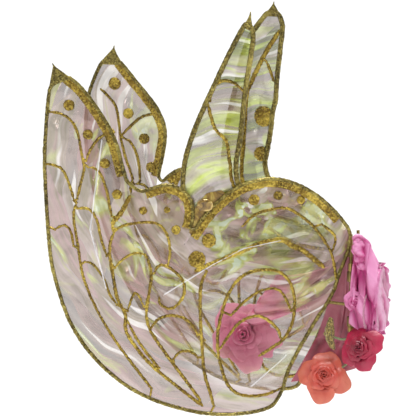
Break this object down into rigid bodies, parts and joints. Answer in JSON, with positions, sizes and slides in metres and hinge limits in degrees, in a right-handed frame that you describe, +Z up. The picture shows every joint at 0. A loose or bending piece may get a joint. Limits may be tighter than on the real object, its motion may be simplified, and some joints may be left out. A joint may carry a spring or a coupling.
{
  "type": "fairy wings",
  "caption": "Pair of hinged wire-framed iridescent film fairy wings with gold glitter veins, on a padded back plate dressed with satin and silk roses.",
  "frame": {"origin": "middle of the padded face that rests on the wearer's back, level with the pinch in the wings' root edges", "axes": "+X out of the padded face, the way the wearer faces; +Y to the wearer's left; +Z up"},
  "size_m": [0.3598, 0.2013, 0.407],
  "materials": {
    "pad_satin": "satin over foam",
    "board": "moulded, satin-faced",
    "clip_metal": "bent and plated",
    "rivet_metal": "domed",
    "strap_elastic": "woven elastic",
    "magenta_satin": "folded satin",
    "dusty_satin": "folded satin",
    "pink_satin": "gathered satin",
    "crimson_silk": "pressed silk petals",
    "coral_silk": "pressed silk petals",
    "stem_tape": "wrapped floral tape",
    "leaf_fabric": "glittered cloth",
    "rod_metal": "plated wire",
    "sleeve_metal": "crimped",
    "glitter_wire": "wire coated with gold glitter",
    "wing_film": "clear iridescent film",
    "gold_glitter": "gold glitter set in glue",
    "gusset_film": "brown-gold film",
    "cabochon": "moulded, polished",
    "petal_film": "clear yellow-green iridescent film"
  },
  "bodies": {
    "root": {"back_pad": "pad_satin", "back_board": "board", "clip_upper_right": "clip_metal", "clip_lower_right": "clip_metal", "clip_upper_left": "clip_metal", "clip_lower_left": "clip_metal", "rivets": "rivet_metal", "strap_right": "strap_elastic", "strap_left": "strap_elastic", "puff_top": "magenta_satin", "puff_side": "magenta_satin", "puff_swirl": "magenta_satin", "satin_tail": "dusty_satin", "satin_sash": "magenta_satin", "satin_rosette": "pink_satin", "rose_crimson": "crimson_silk", "rose_coral": "coral_silk", "rose_stem": "stem_tape", "rose_leaf": "leaf_fabric"},
    "right_wing": {"right_root_rod": "rod_metal", "right_rod_caps": "sleeve_metal", "right_frame_wire": "glitter_wire", "right_film": "wing_film", "right_margin_bands": "gold_glitter", "right_veins": "gold_glitter", "right_dots": "gold_glitter", "right_gusset": "gusset_film", "right_cabochon": "cabochon", "right_petal_film": "petal_film", "right_petal_wire": "glitter_wire", "right_petal_veins": "gold_glitter", "right_petal_ties": "sleeve_metal"},
    "left_wing": {"left_root_rod": "rod_metal", "left_rod_caps": "sleeve_metal", "left_frame_wire": "glitter_wire", "left_film": "wing_film", "left_margin_bands": "gold_glitter", "left_veins": "gold_glitter", "left_dots": "gold_glitter", "left_gusset": "gusset_film", "left_cabochon": "cabochon", "left_petal_film": "petal_film", "left_petal_wire": "glitter_wire", "left_petal_veins": "gold_glitter", "left_petal_ties": "sleeve_metal"}
  },
  "joints": [
    {"name": "right_root_hinge", "type": "hinge", "parent": "root", "child": "right_wing", "pos_m": [-0.03, -0.015, 0], "axis": [0, 0, 1], "range_deg": [0, 60]},
    {"name": "left_root_hinge", "type": "hinge", "parent": "root", "child": "left_wing", "pos_m": [-0.03, 0.015, 0], "axis": [0, 0, 1], "range_deg": [-60, 0]}
  ]
}
